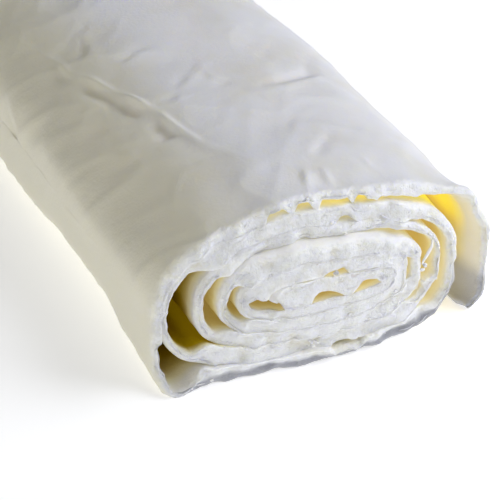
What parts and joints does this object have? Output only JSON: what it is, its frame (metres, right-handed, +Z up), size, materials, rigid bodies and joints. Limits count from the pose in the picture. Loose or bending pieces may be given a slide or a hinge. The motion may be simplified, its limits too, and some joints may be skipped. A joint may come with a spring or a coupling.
{
  "type": "rolled mozzarella sheet",
  "caption": "Thin sheet of fresh mozzarella wound into a sagging oval roll that lies on its side, with open spiral ends and a loose outer edge that tucks under its right side.",
  "frame": {"origin": "centre of the object's box on the table surface under it", "axes": "+Y along the roll, away from the end that the picture shows; +Z up; +X towards the side with the loose outer edge"},
  "size_m": [0.0836, 0.2104, 0.0438],
  "materials": {
    "cheese": "moist satin, cream white, slightly translucent"
  },
  "bodies": {
    "root": {"mozzarella_sheet": "cheese"}
  },
  "joints": []
}
